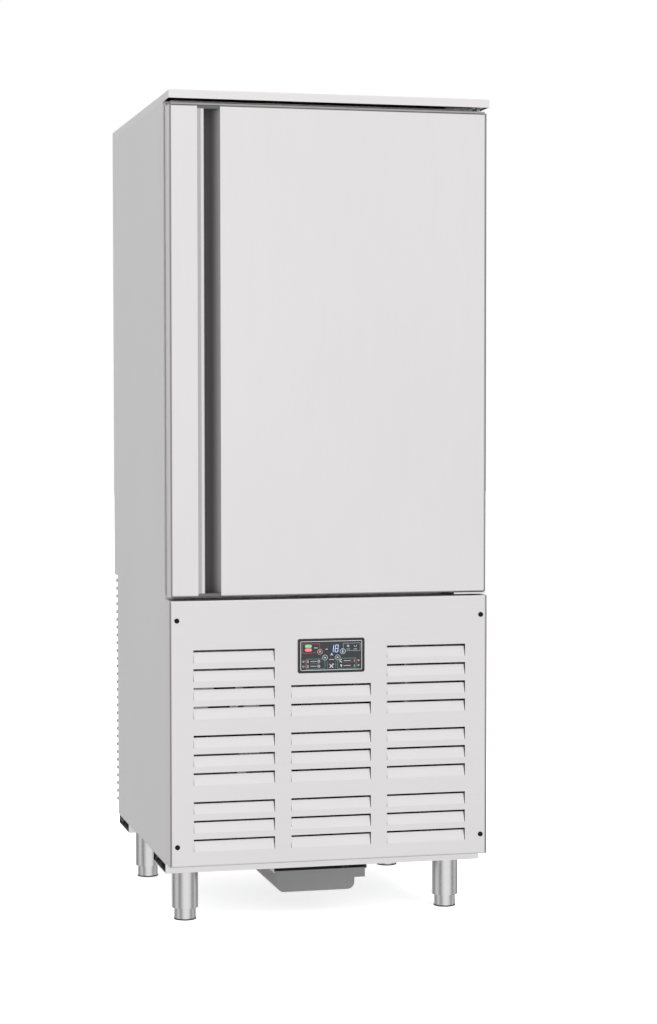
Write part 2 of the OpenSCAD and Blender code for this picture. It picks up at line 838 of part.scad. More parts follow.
// pressed inner liner with a raised middle
module door_liner() {
    s = liner_step;
    color(steel) difference() {
        union() {
            translate([0, y_door_back, door_z0 + s]) mirror([0, 1, 0])
                pan_form(2 * (door_hw - s), door_h - 2 * s, door_t - skin_depth, liner_r);
            liner_raise(0, y_door_back - 2, 2);
        }
        liner_core(y_skin_back - 1, liner_r - liner_t);
        liner_raise(liner_t, y_skin_back, 0.8);
    }
}

// magnetic gasket: a ring with a hollow bellows
module door_gasket() {
    outer = pivot_x - 2;
    width = 22;
    z0 = cabinet_z0 + 19;
    z1 = door_z1 - 16;
    y0 = y_door_back;
    y1 = y_body - 0.2;
    color([0.25, 0.25, 0.26]) difference() {
        front_plate(-outer, z0, outer, z1, 8, y0, y1);
        front_plate(-outer + width, z0 + width, outer - width, z1 - width, 3, y0 - 1, y1 + 1);
        difference() {
            front_plate(-outer - 1, z0 - 1, outer + 1, z1 + 1, 8, y0 + 2.6, y0 + 4.2);
            front_plate(-outer + 3, z0 + 3, outer - 3, z1 - 3, 6, y0 + 2, y0 + 5);
        }
    }
}

// upper hinge: plate on the head of the frame, inside the folded top, and the pin into the door
module top_hinge_bracket() {
    plate_t = 4;
    z0 = z_slab + head_rise;
    color(steel) {
        block([pivot_x - 12, pivot_y - 14, z0], [half_w - 4, y_body, z0 + plate_t]);
        block([pivot_x - 70, y_body, z0], [frame_hw, y_body + 60, z0 + plate_t]);
        translate([pivot_x, pivot_y, door_z1 - 20]) cylinder(r = pin_r, h = z0 + 2 - door_z1 + 20);
    }
}

// lower hinge: thick plate under the cabinet that reaches out below the door, and its pin
module bottom_hinge_bracket() {
    plate_t = 4;
    color(steel) {
        block([hinge_plate_x0, y_face + 1.5, cabinet_z0 - plate_t],
            [half_w - 4, y_body, cabinet_z0]);
        block([hinge_plate_x0, y_body, cabinet_z0 - plate_t],
            [frame_hw, y_body + 60, cabinet_z0]);
        translate([pivot_x, pivot_y, cabinet_z0 - 1]) cylinder(r = pin_r, h = door_z0 + 21 - cabinet_z0);
    }
}

// sleeves in the door that turn on the hinge pins
module hinge_bushes() {
    color("white") for (z = [door_z0, door_z1 - bush_len]) translate([pivot_x, pivot_y, z])
        difference() {
            cylinder(r = bush_r, h = bush_len);
            translate([0, 0, -1]) cylinder(r = pin_r + running_gap, h = bush_len + 2);
        }
}

// ---------------------------------------------------------------- inside the chamber

// one tray runner: a shelf with its leg folded down along the posts
module runner(z) {
    t = 1.5;
    leg = 14;
    block([-runner_x, rack_y0, z - t], [-runner_x + runner_w, rack_y0 + tray_l + 10, z]);
    block([-runner_x - t, rack_y0, z - leg], [-runner_x, rack_y0 + tray_l + 10, z]);
}

// rack frame of one side: two tube posts on wall studs and two ties
module rack() {
    post = 24;
    x1 = -runner_x - 1.5;
    x0 = -chamber_hw + 4;
    z0 = chamber_z0 + 16;
    z1 = chamber_z1 - 16;
    color(steel) {
        for (y = rack_posts) {
            difference() {
                block([x0, y, z0], [x1, y + post, z1]);
                block([x0 + 2, y + 2, z0 - 1], [x1 - 2, y + post - 2, z1 + 1]);
            }
            for (z = [z0 + 60, z1 - 60]) translate([-chamber_hw, y + post / 2, z])
                rotate([0, 90, 0]) cylinder(r = 6, h = 4);
        }
        for (z = [z0 + 6, z1 - 12]) block([x0 + 4, rack_posts[0] + post, z],
            [x1 - 4, rack_posts[1], z + 6]);
    }
}

// all runners of one side
module runners() {
    color(steel) for (i = [0 : tray_levels - 1]) runner(first_level + i * tray_pitch);
}

module left_rack() { rack(); }
module right_rack() { mirror([1, 0, 0]) rack(); }
module left_runners() { runners(); }
module right_runners() { mirror([1, 0, 0]) runners(); }

// upright fins between a lower and an upper plate
module fin_pack(x0, x1, y0, y1, z0, z1, pitch) {
    fins = floor((x1 - x0) / pitch);
    step = (x1 - x0) / fins;
    for (i = [1 : fins - 1]) block([x0 + i * step - 0.5, y0, z0], [x0 + i * step + 0.5, y1, z1]);
    for (z = [z0, z1 - 2]) block([x0, y0, z], [x1, y1, z + 2]);
}

// fin pack between two end plates, with return bends
module evaporator_coil() {
    hw = 268;
    y0 = 272;
    y1 = 352;
    z0 = 900;
    z1 = 1880;
    bends = 12;
    color("silver") {
        fin_pack(-hw, hw, y0, y1, z0, z1, 10);
        both_sides() block([-hw - 2, y0 - 4, z0 - 6], [-hw, chamber_y1, z1 + 6]);
    }
    color("peru") for (s = [-1, 1], i = [0 : bends - 1])
        translate([s * (hw + 2), y0 + 26 + (i % 2) * 26, z0 + 50 + i * 78]) rotate([90, 0, 0])
            rotate([0, 0, s > 0 ? -90 : 90]) rotate_extrude(angle = 180)
                translate([13, 0]) circle(5);
}

// hinged cover that carries the fans: folded sheet with two ducts and two knuckles
module fan_panel() {
    h = fan_panel_z[1] - fan_panel_z[0];
    color(steel) difference() {
        union() {
            difference() {
                translate([0, fan_panel_y, fan_panel_z[0]])
                    hollow_pan(2 * fan_panel_hw, h, 26, 3, sheet);
                for (z = fan_z) rod_y(0, fan_panel_y - 1, z, duct_r, 10);
            }
            for (z = fan_z) difference() {
                rod_y(0, fan_panel_y, z, duct_r + sheet, 30);
                rod_y(0, fan_panel_y - 1, z, duct_r, 32);
            }
            for (z = fan_hinge_z) {
                translate([fan_pivot_x, fan_pivot_y, z + 3.3]) cylinder(r = 7, h = 39.4);
                block([fan_panel_hw - 1, fan_pivot_y - 1.5, z + 3.3],
                    [fan_pivot_x - 5, fan_pivot_y + 1.5, z + 42.7]);
            }
        }
        for (z = fan_hinge_z) translate([fan_pivot_x, fan_pivot_y, z])
            cylinder(r = 4 + running_gap, h = 46);
    }
}

// two wall brackets with pins that the fan panel hangs and swings on
module fan_panel_hinges() {
    color(steel) for (z = fan_hinge_z) {
        block([chamber_hw - 3, fan_pivot_y - 18, z - 6], [chamber_hw, fan_pivot_y + 18, z + 52]);
        for (ear = [z, z + 43]) {
            block([fan_pivot_x, fan_pivot_y - 8, ear], [chamber_hw - 3, fan_pivot_y + 8, ear + 3]);
            translate([fan_pivot_x, fan_pivot_y, ear]) cylinder(r = 8, h = 3);
        }
        translate([fan_pivot_x, fan_pivot_y, z + 1]) cylinder(r = 4, h = 44);
    }
}

// evaporator fan number i
module evaporator_fan(i) {
    translate([0, fan_panel_y + 8, fan_z[i]]) rotate([-90, 0, 0])
        axial_fan(fan_r, 26, 30, 5, 4, 20);
}

module upper_fan() { color(black) evaporator_fan(1); }
module lower_fan() { color(black) evaporator_fan(0); }

// two fan motors on four arms each
module fan_motors() {
    color(grey_plastic) for (z = fan_z) translate([0, fan_panel_y + 46, z]) rotate([-90, 0, 0])
        fan_motor(38, 62, 4 + running_gap, 141, 46 - sheet);
}

// round wire guards in front of the fans
module fan_guards() {
    wire = 3;
    color(steel) for (z = fan_z) translate([0, fan_panel_y, z]) rotate([90, 0, 0]) {
        difference() {
            cylinder(r = duct_r + 7, h = wire);
            translate([0, 0, -1]) cylinder(r = duct_r + 3, h = wire + 2);
        }
        for (r = [28, 52, 76, 100, 124]) translate([0, 0, wire]) difference() {
            cylinder(r = r + wire / 2, h = wire);
            translate([0, 0, -1]) cylinder(r = r - wire / 2, h = wire + 2);
        }
        for (a = [0 : 45 : 135]) rotate(a)
            translate([-duct_r - 6, -wire / 2, wire]) cube([2 * duct_r + 12, wire, wire]);
    }
}

// drain from the chamber floor down to the drip tray
module drain_pipe() {
    color(grey_plastic) translate([0, drain_y, 0]) difference() {
        union() {
            translate([0, 0, drip_z1 + 5]) cylinder(r = 16, h = chamber_z0 - drip_z1 - 5);
            translate([0, 0, chamber_z0]) cylinder(r = 24, h = 1.2);
        }
        translate([0, 0, drip_z1]) cylinder(r = 13, h = chamber_z0);
    }
}

// socket for the core probe, on the chamber wall by the door
module probe_socket() {
    color(black) translate([chamber_hw, y_body + 20, 1480]) rotate([0, -90, 0]) difference() {
        rotate_extrude() polygon([[0, 0], [13, 0], [13, 3], [10, 4], [10, 14], [0, 14]]);
        translate([0, 0, 5]) cylinder(r = 6, h = 20);
    }
}

// ---------------------------------------------------------------- machine compartment

// hermetic compressor on its foot plate, with two stubs on top
module compressor() {
    cx = 215;
    cy = -120;
    z0 = side_z0;
    color(black) translate([cx, cy, z0]) {
        translate([-110, -80, 14]) cube([220, 160, 4]);
        for (x = [-92, 92], y = [-62, 62]) translate([x, y, 0]) cylinder(r = 15, h = 14);
        translate([0, 0, 18]) rotate_extrude() polygon([[0, 0], [70, 0], [92, 14], [100, 34],
            [100, 120], [103, 122], [103, 128], [100, 130], [100, 200], [90, 232], [64, 252], [0, 262]]);
        translate([60, -40, 60]) cube([62, 80, 90]);
        for (x = [-50, 50]) translate([x, 0, 260]) cylinder(r = 6, h = 25);
    }
}

// finned condenser block with end plates and two stubs
module condenser_coil() {
    x0 = cond_x - 185;
    x1 = cond_x + 185;
    z0 = cond_z - 200;
    z1 = cond_z + 200;
    y0 = cond_y0;
    color("silver") {
        fin_pack(x0, x1, y0, y0 + 50, z0, z1, 7.4);
        block([x0 - 2, y0, side_z0], [x0, y0 + 54, z1 + 4]);
        block([x1, y0, side_z0], [x1 + 2, y0 + 54, z1 + 4]);
    }
    color("peru") for (z = [z0 + 15, z1 - 15]) translate([x1 + 2, y0 + 30, z]) rotate([0, 90, 0])
        cylinder(r = 5, h = 13);
}

// bulkhead across the compartment that keeps warm air from the louvres, with a round duct
// for the condenser's fan and two holes for its lines
module condenser_shroud() {
    hw = half_w - back_flange - 0.5;
    color(galvanised) {
        difference() {
            block([-hw, cond_y0 - sheet, side_z0], [hw, cond_y0, cabinet_z0]);
            rod_y(cond_x, cond_y0 - 5, cond_z, cond_duct_r, 10);
            for (l = line_holes) rod_y(l[0], cond_y0 - 5, l[1], 9, 10);
        }
        difference() {
            rod_y(cond_x, cond_y0 - 46, cond_z, cond_duct_r + sheet, 46 - sheet);
            rod_y(cond_x, cond_y0 - 50, cond_z, cond_duct_r, 60);
        }
    }
}

// the fan faces the back, so its shaft points to the front
module condenser_fan() {
    color(black) translate([cond_x, cond_y0 - 6, cond_z]) rotate([90, 0, 0])
        axial_fan(cond_fan_r, 32, 34, 5, 5, 26);
}

module condenser_motor() {
    color(grey_plastic) translate([cond_x, cond_y0 - 56, cond_z]) rotate([90, 0, 0])
        fan_motor(44, 76, 5 + running_gap, 168, 56 - sheet);
}

// upright liquid receiver with two stubs
module liquid_receiver() {
    color(black) translate([110, 120, side_z0]) {
        translate([-60, -60, 0]) cube([120, 120, 4]);
        translate([0, 0, 4]) rotate_extrude() polygon([[0, 0], [44, 4], [55, 20], [55, 240],
            [44, 258], [0, 264]]);
        for (y = [-20, 20]) translate([0, y, 262]) cylinder(r = 5, h = 28);
    }
}

// filter drier in the liquid line
module filter_drier() {
    color("firebrick") translate([110, -40, 520]) rotate([90, 0, 0])
        rotate_extrude() polygon([[0, 0], [7, 0], [7, 10], [26, 24], [26, 116], [7, 130],
            [7, 140], [0, 140]]);
}

// copper lines between compressor, condenser, receiver and evaporator
module refrigerant_pipes() {
    top = side_z0 + 285;
    stub_y = cond_y0 + 30;
    x_end = cond_x + 200;
    receiver_top = side_z0 + 290;
    color("peru") {
        pipe([[265, -120, top], [265, -120, 600], [265, stub_y, 600],
            [265, stub_y, cond_z + 185], [x_end, stub_y, cond_z + 185]], 5);
        pipe([[x_end, stub_y, cond_z - 185], [110, stub_y, cond_z - 185], [110, stub_y, 500],
            [110, 140, 500], [110, 140, receiver_top]], 5);
        pipe([[110, 100, receiver_top], [110, 100, 520], [110, -40, 520]], 5);
        pipe([[110, -180, 520], [110, -230, 520], [110, -230, cabinet_z0]], 5);
    }
    color(black) pipe([[165, -120, top], [165, -120, cabinet_z0]], 11);
}

// contactor and terminal box on the compartment floor
module electrical_box() {
    color(grey_plastic) {
        block([-330, -220, side_z0], [-190, -60, side_z0 + 230]);
        block([-334, -224, side_z0 + 230], [-186, -56, side_z0 + 242]);
    }
}

// mains inlet gland on the right post of the rear grille; its cable isn't fitted
module cable_gland() {
    x = half_w - back_flange - 40;
    color(black) translate([x, y_low_back - 10, side_z0 + 14]) {
        translate([-20, -2, -14 + sheet]) cube([40, 2, 29]);
        rotate([-90, 0, 0]) difference() {
            union() {
                cylinder(r = 11, h = 8, $fn = 6);
                translate([0, 0, 8]) cylinder(r = 8.5, h = 16);
            }
            translate([0, 0, 2]) cylinder(r = 5.5, h = 30);
        }
    }
}

left_side_panel();
right_side_panel();
back_panel();
top_panel();
cabinet_base_panel();
cabinet_foam();
chamber_liner();
breaker_frame();
machine_floor();
front_beam();
rear_beam();
leg_sleeves();
foot_front_left();
foot_front_right();
foot_rear_left();
foot_rear_right();
front_panel();
panel_screws();
control_bezel();
control_overlay();
key_stop();
key_light();
key_down();
key_up();
controller_box();
rear_grille();
drip_tray();
tray_rails();
door_skin();
door_handle_channel();
door_grip();
door_foam();
door_liner();
door_gasket();
top_hinge_bracket();
bottom_hinge_bracket();
hinge_bushes();
left_rack();
right_rack();
left_runners();
right_runners();
evaporator_coil();
fan_panel();
fan_panel_hinges();
upper_fan();
lower_fan();
fan_motors();
fan_guards();
drain_pipe();
probe_socket();
compressor();
condenser_coil();
condenser_shroud();
condenser_fan();
condenser_motor();
liquid_receiver();
filter_drier();
refrigerant_pipes();
electrical_box();
cable_gland();
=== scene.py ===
"""Looks of the upright blast chiller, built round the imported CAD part.

The frame is in metres: x to the right, y to the back, z up from the floor. The door faces -y.
"""

import math

import bmesh
import bpy
from mathutils import Matrix, Vector


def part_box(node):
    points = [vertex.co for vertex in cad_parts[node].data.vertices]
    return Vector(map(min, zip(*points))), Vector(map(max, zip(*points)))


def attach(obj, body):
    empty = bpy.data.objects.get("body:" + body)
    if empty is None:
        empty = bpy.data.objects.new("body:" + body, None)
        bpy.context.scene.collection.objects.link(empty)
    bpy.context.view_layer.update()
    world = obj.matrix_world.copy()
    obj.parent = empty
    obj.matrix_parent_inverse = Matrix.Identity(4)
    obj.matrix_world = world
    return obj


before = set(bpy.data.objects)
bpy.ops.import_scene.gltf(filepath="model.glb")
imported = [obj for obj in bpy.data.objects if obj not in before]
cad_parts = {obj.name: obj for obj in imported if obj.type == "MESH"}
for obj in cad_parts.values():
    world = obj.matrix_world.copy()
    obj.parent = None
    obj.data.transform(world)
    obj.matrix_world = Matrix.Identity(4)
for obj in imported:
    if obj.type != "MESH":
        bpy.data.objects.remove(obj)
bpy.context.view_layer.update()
scene = bpy.context.scene
MM = 0.001

# ---------------------------------------------------------------- camera, from the photograph
CAM_YAW, CAM_PITCH, CAM_ROLL = 0.2417, 0.0415, -0.0007      # radians
CAM_PLACE = (-1.35375, -5.8957, 1.23624)
CAM_LENS, CAM_SENSOR = 82.17, 36.0                          # millimetres

forward = Vector((math.sin(CAM_YAW) * math.cos(CAM_PITCH),
                  math.cos(CAM_YAW) * math.cos(CAM_PITCH),
                  -math.sin(CAM_PITCH)))
level_right = Vector((math.cos(CAM_YAW), -math.sin(CAM_YAW), 0.0))
level_up = level_right.cross(forward)
right = math.cos(CAM_ROLL) * level_right + math.sin(CAM_ROLL) * level_up
up = math.cos(CAM_ROLL) * level_up - math.sin(CAM_ROLL) * level_right

cam_data = bpy.data.cameras.new("camera")
cam_data.lens = CAM_LENS
cam_data.sensor_width = CAM_SENSOR
cam_data.sensor_fit = "AUTO"
cam = bpy.data.objects.new("camera", cam_data)
scene.collection.objects.link(cam)
cam.matrix_world = Matrix((
    (right.x, up.x, -forward.x, CAM_PLACE[0]),
    (right.y, up.y, -forward.y, CAM_PLACE[1]),
    (right.z, up.z, -forward.z, CAM_PLACE[2]),
    (0, 0, 0, 1)))
scene.camera = cam
scene.view_settings.view_transform = "Standard"
scene.view_settings.look = "None"

# ---------------------------------------------------------------- surroundings and lights
ROOM_STRENGTH = 1.10

world = bpy.data.worlds.new("studio")
scene.world = world
world.use_nodes = True
wn, wl = world.node_tree.nodes, world.node_tree.links
wn.clear()
w_out = wn.new("ShaderNodeOutputWorld")
w_room = wn.new("ShaderNodeBackground")
w_seen = wn.new("ShaderNodeBackground")
w_mix = wn.new("ShaderNodeMixShader")
w_path = wn.new("ShaderNodeLightPath")
w_co = wn.new("ShaderNodeTexCoord")
w_sep = wn.new("ShaderNodeSeparateXYZ")
w_seen.inputs["Color"].default_value = (1, 1, 1, 1)
w_seen.inputs["Strength"].default_value = 1.0
w_room.inputs["Strength"].default_value = ROOM_STRENGTH
wl.new(w_co.outputs["Generated"], w_sep.inputs[0])


def tone_over(axis, stops):
    """Brightness of the surroundings over one axis of the direction, from -1 to 1.

    The first two stops have to be the two ends, because a new ramp holds those already.
    """
    span = wn.new("ShaderNodeMapRange")
    span.inputs["From Min"].default_value = -1
    span.inputs["From Max"].default_value = 1
    wl.new(w_sep.outputs[axis], span.inputs["Value"])
    ramp = wn.new("ShaderNodeValToRGB")
    wl.new(span.outputs[0], ramp.inputs[0])
    stored = ramp.color_ramp.elements
    for k, (place, tone) in enumerate(stops):
        share = (place + 1) / 2
        stop = stored[k] if k < 2 else stored.new(share)
        stop.position = share
        stop.color = (tone, tone, tone, 1)
    return ramp.outputs[0]


def times(a, b):
    """The product of two colours of the world's node tree."""
    node = wn.new("ShaderNodeMix")
    node.data_type = "RGBA"
    node.blend_type = "MULTIPLY"
    node.inputs["Factor"].default_value = 1.0
    ports = [i for i in node.inputs if i.type == "RGBA"]
    wl.new(a, ports[0])
    wl.new(b, ports[1])
    return [o for o in node.outputs if o.type == "RGBA"][0]


# dark strips far to the left and right draw the legs and bends; the room is a little darker
# behind the object and towards the floor
across = tone_over("X", ((-1.0, 0.85), (1.0, 0.80), (-0.94, 0.75), (-0.86, 0.22),
                         (-0.74, 0.30), (-0.52, 0.80), (-0.32, 1.0), (0.32, 1.0),
                         (0.60, 0.85), (0.78, 0.28), (0.88, 0.25), (0.96, 0.70)))
along = tone_over("Y", ((-1.0, 1.0), (1.0, 0.80), (-0.25, 1.0), (0.35, 0.80)))
upright = tone_over("Z", ((-1.0, 0.70), (1.0, 1.0), (-0.60, 0.80), (0.15, 1.0)))
wl.new(times(times(across, along), upright), w_room.inputs["Color"])
# the camera itself sees plain white
wl.new(w_path.outputs["Is Camera Ray"], w_mix.inputs[0])
wl.new(w_room.outputs[0], w_mix.inputs[1])
wl.new(w_seen.outputs[0], w_mix.inputs[2])
wl.new(w_mix.outputs[0], w_out.inputs[0])

# the lights brighten floor and plastics; the metal mirrors the even surroundings instead
SKY_POWER, SKY_WIDTH, SKY_TILT = 1.35, 70, (18, 10)          # angles in degrees
LIGHT_SIZE, LIGHT_TARGET = 3.0, (0, 0, 0.8)
AREA_LIGHTS = {"key_light": ((1.8, -5.2, 2.6), 50), "fill_light": ((-4.6, -2.6, 2.4), 40)}


def add_light(data):
    """Puts a light in the scene that no metal mirrors."""
    ob = bpy.data.objects.new(data.name, data)
    scene.collection.objects.link(ob)
    ob.visible_glossy = False
    return ob


sky_data = bpy.data.lights.new("sky_light", "SUN")
sky_data.energy = SKY_POWER
sky_data.angle = math.radians(SKY_WIDTH)
sky = add_light(sky_data)
sky.rotation_euler = (math.radians(SKY_TILT[0]), math.radians(SKY_TILT[1]), 0)

for light_name, (place, power) in AREA_LIGHTS.items():
    data = bpy.data.lights.new(light_name, "AREA")
    data.shape = "SQUARE"
    data.size = LIGHT_SIZE
    data.energy = power
    light = add_light(data)
    light.location = place
    look = Vector(LIGHT_TARGET) - Vector(place)
    light.rotation_euler = look.to_track_quat("-Z", "Y").to_euler()

# ---------------------------------------------------------------- material helpers


def darker(color, amount):
    """The colour with amount of its brightness taken away."""
    return tuple(c * (1 - amount) for c in color)


class Mat:
    """A node material with its Principled shader and short helpers."""

    def __init__(self, name, color, rough, metal=0.0):
        self.m = bpy.data.materials.new(name)
        self.m.use_nodes = True
        self.n = self.m.node_tree.nodes
        self.l = self.m.node_tree.links
        self.b = self.n["Principled BSDF"]
        self.put("Base Color", (*color, 1))
        self.put("Roughness", rough)
        self.put("Metallic", metal)
        self.color = color
        self.co = self.n.new("ShaderNodeTexCoord")

    def put(self, socket, value):
        """Sets one of the shader's own values."""
        self.b.inputs[socket].default_value = value

    def noise(self, scale, detail=4.0, rough=0.5):
        """Noise over the object's own space, with scale in cycles per metre on each axis."""
        mp = self.n.new("ShaderNodeMapping")
        mp.inputs["Scale"].default_value = scale
        self.l.new(self.co.outputs["Object"], mp.inputs[0])
        nz = self.n.new("ShaderNodeTexNoise")
        nz.inputs["Scale"].default_value = 1.0
        nz.inputs["Detail"].default_value = detail
        nz.inputs["Roughness"].default_value = rough
        self.l.new(mp.outputs[0], nz.inputs["Vector"])
        return nz.outputs["Fac"]

    def spread(self, fac, low, high, a=0.3, b=0.7):
        """Runs from low to high while fac runs from a to b."""
        mr = self.n.new("ShaderNodeMapRange")
        self.l.new(fac, mr.inputs["Value"])
        mr.inputs["From Min"].default_value = a
        mr.inputs["From Max"].default_value = b
        mr.inputs["To Min"].default_value = low
        mr.inputs["To Max"].default_value = high
        return mr.outputs[0]

    def mix(self, fac, c1, c2):
        """Colour c1 where fac is 0, c2 where it is 1; each is a colour or an output."""
        mx = self.n.new("ShaderNodeMix")
        mx.data_type = "RGBA"
        self.l.new(fac, mx.inputs["Factor"])
        for socket, c in (("A", c1), ("B", c2)):
            target = [i for i in mx.inputs if i.name == socket and i.type == "RGBA"][0]
            if isinstance(c, tuple):
                target.default_value = (*c, 1)
            else:
                self.l.new(c, target)
        return [o for o in mx.outputs if o.type == "RGBA"][0]

    def shade(self, fac, amount):
        """Lets the base colour vary by amount round its own value."""
        light = tuple(min(1.0, c * (1 + amount)) for c in self.color)
        out = self.mix(self.spread(fac, 0, 1), darker(self.color, amount), light)
        self.l.new(out, self.b.inputs["Base Color"])

    def rough(self, fac, low, high):
        self.l.new(self.spread(fac, low, high), self.b.inputs["Roughness"])

    def bump(self, fac, strength, distance):
        bp = self.n.new("ShaderNodeBump")
        bp.inputs["Strength"].default_value = strength
        bp.inputs["Distance"].default_value = distance
        self.l.new(fac, bp.inputs["Height"])
        self.l.new(bp.outputs[0], self.b.inputs["Normal"])

    def axis(self, name, output="Object"):
        """The place on one axis, in metres of the frame; or that axis of another output."""
        sp = self.n.new("ShaderNodeSeparateXYZ")
        self.l.new(self.co.outputs[output], sp.inputs[0])
        return sp.outputs[name]

    def maths(self, operation, a, b=None):
        mt = self.n.new("ShaderNodeMath")
        mt.operation = operation
        for port, value in zip(mt.inputs, (a, b)):
            if isinstance(value, float):
                port.default_value = value
            elif value is not None:
                self.l.new(value, port)
        return mt.outputs[0]

    def above(self, value, limit):
        """1 where value is over the limit."""
        return self.maths("GREATER_THAN", value, limit)

    def below(self, value, limit):
        """1 where value is under the limit."""
        return self.maths("LESS_THAN", value, limit)

    def between(self, axis, low, high):
        """1 where the place on that axis lies between low and high."""
        place = self.axis(axis)
        return self.maths("MULTIPLY", self.above(place, low), self.below(place, high))

    def recolor(self, mask, color):
        """Lays color over the base colour made so far, where mask is 1."""
        sock = self.b.inputs["Base Color"]
        under = sock.links[0].from_socket if sock.links else self.color
        self.l.new(self.mix(mask, under, color), sock)

    def no_metal(self, mask):
        """Takes the metal away where mask is 1."""
        self.l.new(self.maths("SUBTRACT", 1.0, mask), self.b.inputs["Metallic"])

    def turned(self, axes):
        """How squarely the surface faces along one of the axes, 0 to 1."""
        parts = [self.maths("ABSOLUTE", self.axis(a, "Normal")) for a in axes]
        turn = parts[0]
        for part in parts[1:]:
            turn = self.maths("MAXIMUM", turn, part)
        return turn

    def bends(self, axes, amount):
        """Painted shade on bends: darker where the surface faces along none of the axes
        squarely, nor away.
        """
        turn = self.turned(axes)
        mask = self.maths("MULTIPLY", self.spread(turn, 0, 1, 0.10, 0.35),
                          self.spread(turn, 1, 0, 0.93, 0.99))
        self.recolor(mask, darker(self.color, amount))

    def paint_edge_shade(self, node, amount):
        """Painted shade: darkens the upright bend at the right of a front, and the 3 mm of face
        before it.
        """
        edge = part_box(node)[1].x
        near = self.spread(self.axis("X"), 0, 1, edge - 7.4 * MM, edge - 4.6 * MM)
        mask = self.maths("MULTIPLY", near, self.spread(self.turned("Y"), 0, 1, 0.12, 0.30))
        self.recolor(mask, darker(self.color, amount))

    def paint_seam_shade(self, node, height, amount):
        """Painted shade: darkens the lowest strip of a node, a shadow line where it meets the
        piece under it.
        """
        seam = self.below(self.axis("Z"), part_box(node)[0].z + height)
        self.recolor(seam, darker(self.color, amount))


# ---------------------------------------------------------------- kinds of material
COPPER = (0.80, 0.42, 0.27)
ROUND_STEEL = (0.74, 0.74, 0.745)
SCRATCH_ACROSS, SCRATCH_ALONG = 1500.0, 9.0                 # cycles per metre


def brushed(name, color, rough, grain="Z", strength=0.05):
    """Satin stainless steel: fine scratches along grain, and faint broad cloudiness."""
    m = Mat(name, color, rough, 1.0)
    lines = m.noise([SCRATCH_ALONG if a == grain else SCRATCH_ACROSS for a in "XYZ"], 3.0, 0.6)
    cloud = m.noise((2.2, 2.2, 1.4), 2.0)
    m.shade(cloud, 0.012)
    m.rough(lines, rough - 0.05, rough + 0.05)
    m.bump(lines, strength, 0.0002)
    m.put("Anisotropic", 0.35)
    return m


def galvanised(name, color):
    """Zinc-coated sheet with its crystal pattern."""
    m = Mat(name, color, 0.42, 1.0)
    vo = m.n.new("ShaderNodeTexVoronoi")
    vo.inputs["Scale"].default_value = 70.0
    m.l.new(m.co.outputs["Object"], vo.inputs["Vector"])
    bw = m.n.new("ShaderNodeRGBToBW")
    m.l.new(vo.outputs["Color"], bw.inputs[0])
    m.shade(bw.outputs[0], 0.07)
    m.rough(bw.outputs[0], 0.36, 0.50)
    m.bump(bw.outputs[0], 0.06, 0.0002)
    return m


def moulded(name, color, rough, grain=900.0, strength=0.12):
    """Moulded plastic or rubber with a fine grain."""
    m = Mat(name, color, rough)
    g = m.noise((grain, grain, grain), 3.0)
    m.shade(m.noise((6, 6, 6), 2.0), 0.05)
    m.rough(g, rough - 0.05, rough + 0.05)
    m.bump(g, strength, 0.0003)
    return m


def fin_stock(name, reach=None):
    """Bare aluminium fins; further out than reach, the tube ends are copper bends."""
    m = Mat(name, (0.78, 0.79, 0.80), 0.35, 1.0)
    g = m.noise((300, 300, 40), 3.0)
    m.shade(g, 0.05)
    if reach:
        m.recolor(m.above(m.maths("ABSOLUTE", m.axis("X")), reach), COPPER)
    m.rough(g, 0.28, 0.42)
    m.bump(g, 0.05, 0.0002)
    return m


def foam_stock(name):
    """Yellowish insulation foam with a coarse grain."""
    m = Mat(name, (0.82, 0.72, 0.46), 0.9)
    g = m.noise((260, 260, 260), 6.0, 0.7)
    m.shade(g, 0.12)
    m.bump(g, 0.4, 0.001)
    return m


def foot_stock(name):
    """Steel foot whose lowest 3 mm are a black pad."""
    m = brushed(name, ROUND_STEEL, 0.30, "Z", 0.04)
    steel = m.above(m.axis("Z"), 3.2 * MM)
    m.l.new(m.mix(steel, (0.03, 0.03, 0.03), ROUND_STEEL), m.b.inputs["Base Color"])
    m.l.new(steel, m.b.inputs["Metallic"])
    return m


def beam_stock(name, node):
    """Steel channel; the inside of its open ends is painted shade, dull and dark, with grit
    specks.
    """
    m = brushed(name, (0.84, 0.826, 0.832), 0.42, "X")
    lo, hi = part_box(node)
    # painted shade inside the channel's open ends, with lighter grit specks in it
    inside = m.maths("MULTIPLY", m.between("Y", lo.y + 2.5 * MM, hi.y - 2.5 * MM),
                     m.between("Z", lo.z + 2.5 * MM, hi.z - 1.2 * MM))
    grit = m.above(m.noise((150, 150, 150), 3.0, 0.6), 0.56)
    m.recolor(inside, m.mix(grit, (0.016, 0.016, 0.016), (0.30, 0.30, 0.30)))
    m.no_metal(inside)
    return m


SUCTION_X, SUCTION_Y = 0.165, -0.120      # where the suction line stands upright
SLEEVE_R, SLEEVE_Z = 11.6 * MM, 0.4355    # its insulation: radius, and height where it begins


def copper_stock(name):
    """Copper tube; the upright suction line is in black insulation."""
    m = Mat(name, COPPER, 0.34, 1.0)
    g = m.noise((25, 25, 25), 5.0, 0.65)
    m.shade(g, 0.22)
    m.rough(g, 0.26, 0.48)
    dx = m.maths("SUBTRACT", m.axis("X"), SUCTION_X)
    dy = m.maths("SUBTRACT", m.axis("Y"), SUCTION_Y)
    away = m.maths("SQRT", m.maths("ADD", m.maths("MULTIPLY", dx, dx),
                                   m.maths("MULTIPLY", dy, dy)))
    sleeve = m.maths("MULTIPLY", m.below(away, SLEEVE_R), m.above(m.axis("Z"), SLEEVE_Z))
    m.recolor(sleeve, (0.02, 0.02, 0.021))
    m.no_metal(sleeve)
    return m


